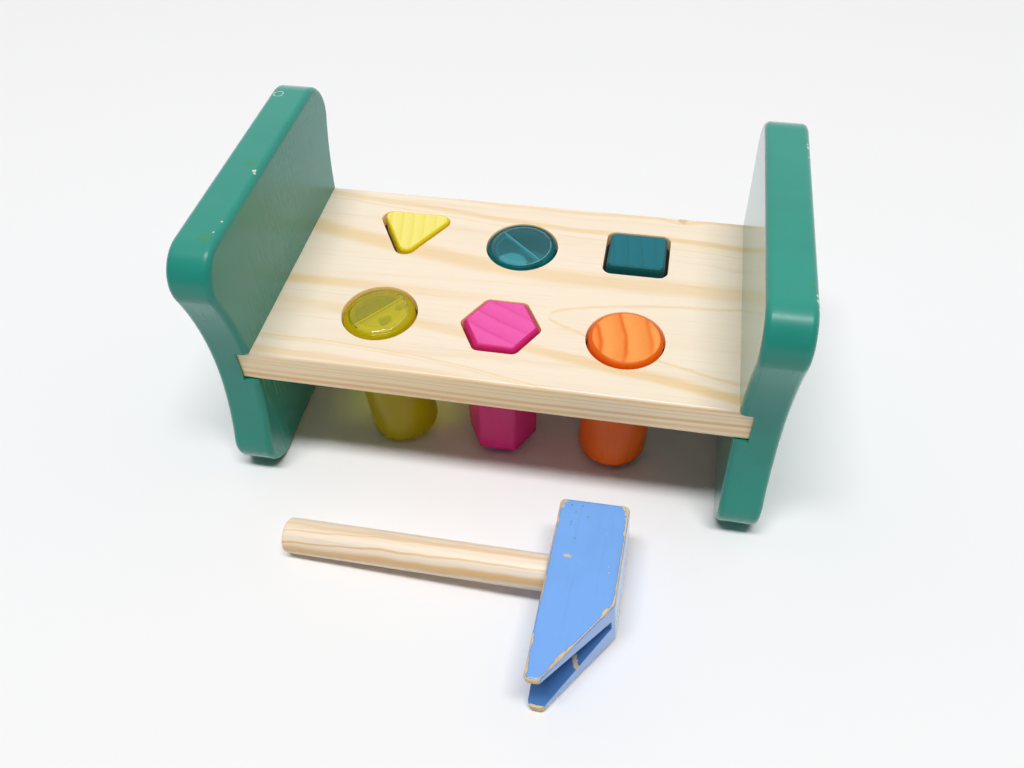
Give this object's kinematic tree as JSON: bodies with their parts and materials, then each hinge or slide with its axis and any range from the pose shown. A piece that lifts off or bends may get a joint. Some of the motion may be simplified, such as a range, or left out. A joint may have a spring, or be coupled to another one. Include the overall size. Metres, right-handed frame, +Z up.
{
  "type": "peg pounding bench",
  "caption": "Wooden pounding bench: a pine board between two waisted green end panels, with shaped pegs held by grip rings in matching holes, and a separate blue hammer with a split wedge.",
  "frame": {"origin": "on the table, midway between the feet of the two end panels, under the middle of the board", "axes": "+X along the board to the right panel, +Y to the back, away from the hammer, +Z up out of the board's top"},
  "size_m": [0.262, 0.2505, 0.141],
  "materials": {
    "pine": "clear satin lacquer over planed pine",
    "green_paint": "satin paint over wood, chipped at the edges",
    "dowel_wood": "plain turned wood, glued",
    "yellow_stain": "satin colour stain, the grain shows through",
    "teal_stain": "satin colour stain, the grain shows through",
    "magenta_stain": "satin colour stain, the grain shows through",
    "orange_stain": "satin colour stain, the grain shows through",
    "teal_clear": "clear tinted plastic, polished",
    "lime_clear": "clear tinted plastic, polished",
    "ring_rubber": "matt",
    "blue_paint": "satin paint over wood, worn through along the edges",
    "handle_wood": "clear satin lacquer over turned pine"
  },
  "bodies": {
    "bench": {"play_board": "pine", "left_panel": "green_paint", "right_panel": "green_paint", "dowel_left_front": "dowel_wood", "dowel_left_back": "dowel_wood", "dowel_right_front": "dowel_wood", "dowel_right_back": "dowel_wood", "grip_ring_triangle": "ring_rubber", "grip_ring_teal": "ring_rubber", "grip_ring_square": "ring_rubber", "grip_ring_lime": "ring_rubber", "grip_ring_hexagon": "ring_rubber", "grip_ring_orange": "ring_rubber"},
    "triangle_peg": {"yellow_triangle_peg": "yellow_stain"},
    "teal_peg": {"teal_clear_peg_cup": "teal_clear", "teal_clear_peg_lid": "teal_clear"},
    "square_peg": {"teal_square_peg": "teal_stain"},
    "lime_peg": {"lime_clear_peg_cup": "lime_clear", "lime_clear_peg_lid": "lime_clear"},
    "hexagon_peg": {"magenta_hexagon_peg": "magenta_stain"},
    "orange_peg": {"orange_round_peg": "orange_stain"},
    "hammer": {"hammer_head": "blue_paint", "hammer_handle": "handle_wood"}
  },
  "joints": [
    {"name": "triangle_peg_slide", "type": "slide", "parent": "bench", "child": "triangle_peg", "axis": [0, 0, 1], "range_m": [-0.002, 0.058]},
    {"name": "teal_peg_slide", "type": "slide", "parent": "bench", "child": "teal_peg", "axis": [-0.0314, 0, 0.9995], "range_m": [-0.0007, 0.0587]},
    {"name": "square_peg_slide", "type": "slide", "parent": "bench", "child": "square_peg", "axis": [0, 0.0872, 0.9962], "range_m": [-0.0019, 0.0575]},
    {"name": "lime_peg_slide", "type": "slide", "parent": "bench", "child": "lime_peg", "axis": [-0.0558, 0, 0.9984], "range_m": [-0.0009, 0.0585]},
    {"name": "hexagon_peg_slide", "type": "slide", "parent": "bench", "child": "hexagon_peg", "axis": [0.0227, 0, 0.9997], "range_m": [-0.002, 0.0574]},
    {"name": "orange_peg_slide", "type": "slide", "parent": "bench", "child": "orange_peg", "axis": [0.0314, 0, 0.9995], "range_m": [-0.002, 0.0574]},
    {"name": "hammer_lift", "type": "slide", "parent": "bench", "child": "hammer", "axis": [0, 0, 1], "range_m": [0, 0.12]}
  ]
}
